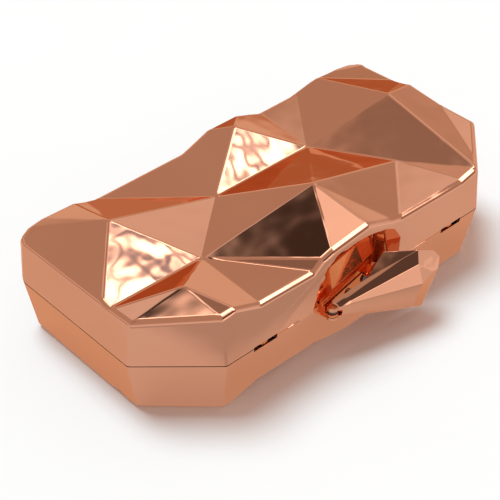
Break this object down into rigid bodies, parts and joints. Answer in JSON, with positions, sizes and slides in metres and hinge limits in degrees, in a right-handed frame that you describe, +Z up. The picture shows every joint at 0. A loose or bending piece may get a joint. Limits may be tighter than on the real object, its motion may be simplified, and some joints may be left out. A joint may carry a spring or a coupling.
{
  "type": "minaudiere",
  "caption": "Hard-case evening clutch in mirror rose gold, with faceted shells, a hinged frame, a lined tray in each half and a sprung crystal-shaped clasp lever",
  "frame": {"origin": "on the flat that the case rests on, under the middle of the outline at the seam", "axes": "+X along the case, -Y towards the clasp, +Y towards the hinges, +Z up through the lid"},
  "size_m": [0.19, 0.1122, 0.0538],
  "materials": {
    "rose_shell": "mirror-polished and plated in rose gold",
    "rose_cast": "cast alloy, mirror-polished and plated in rose gold",
    "frame_metal": "satin plated",
    "steel": "bright drawn wire",
    "velvet": "short-pile velvet on board",
    "buffer": "soft matte rubber"
  },
  "bodies": {
    "base": {"base_shell": "rose_shell", "clasp_plate": "rose_cast", "left_strap_eye": "rose_cast", "right_strap_eye": "rose_cast", "base_frame": "frame_metal", "left_hinge_base_leaf": "frame_metal", "right_hinge_base_leaf": "frame_metal", "base_frame_screws": "frame_metal", "base_hinge_rivets": "steel", "left_hinge_pin": "steel", "right_hinge_pin": "steel", "clasp_plate_rivets": "steel", "clasp_pin": "steel", "clasp_spring": "steel", "strap_eye_rivets": "steel", "base_lining": "velvet", "closing_buffers": "buffer"},
    "lid": {"lid_shell": "rose_shell", "lid_frame": "frame_metal", "lid_lining": "velvet", "lid_frame_screws": "frame_metal", "left_hinge_lid_leaf": "frame_metal", "right_hinge_lid_leaf": "frame_metal", "lid_hinge_rivets": "steel", "strike_plate": "rose_cast", "strike_rivets": "steel"},
    "lever": {"clasp_lever": "rose_cast"}
  },
  "joints": [
    {"name": "lid_hinge", "type": "hinge", "parent": "base", "child": "lid", "pos_m": [0, 0.0481, 0.0253], "axis": [-1, 0, 0], "range_deg": [0, 95]},
    {"name": "clasp_hinge", "type": "hinge", "parent": "base", "child": "lever", "pos_m": [-0.017, -0.0494, 0.0253], "axis": [0, 0, -1], "range_deg": [0, 12], "stiffness_Nm_per_rad": 0.1, "springref_deg": -9.74}
  ]
}
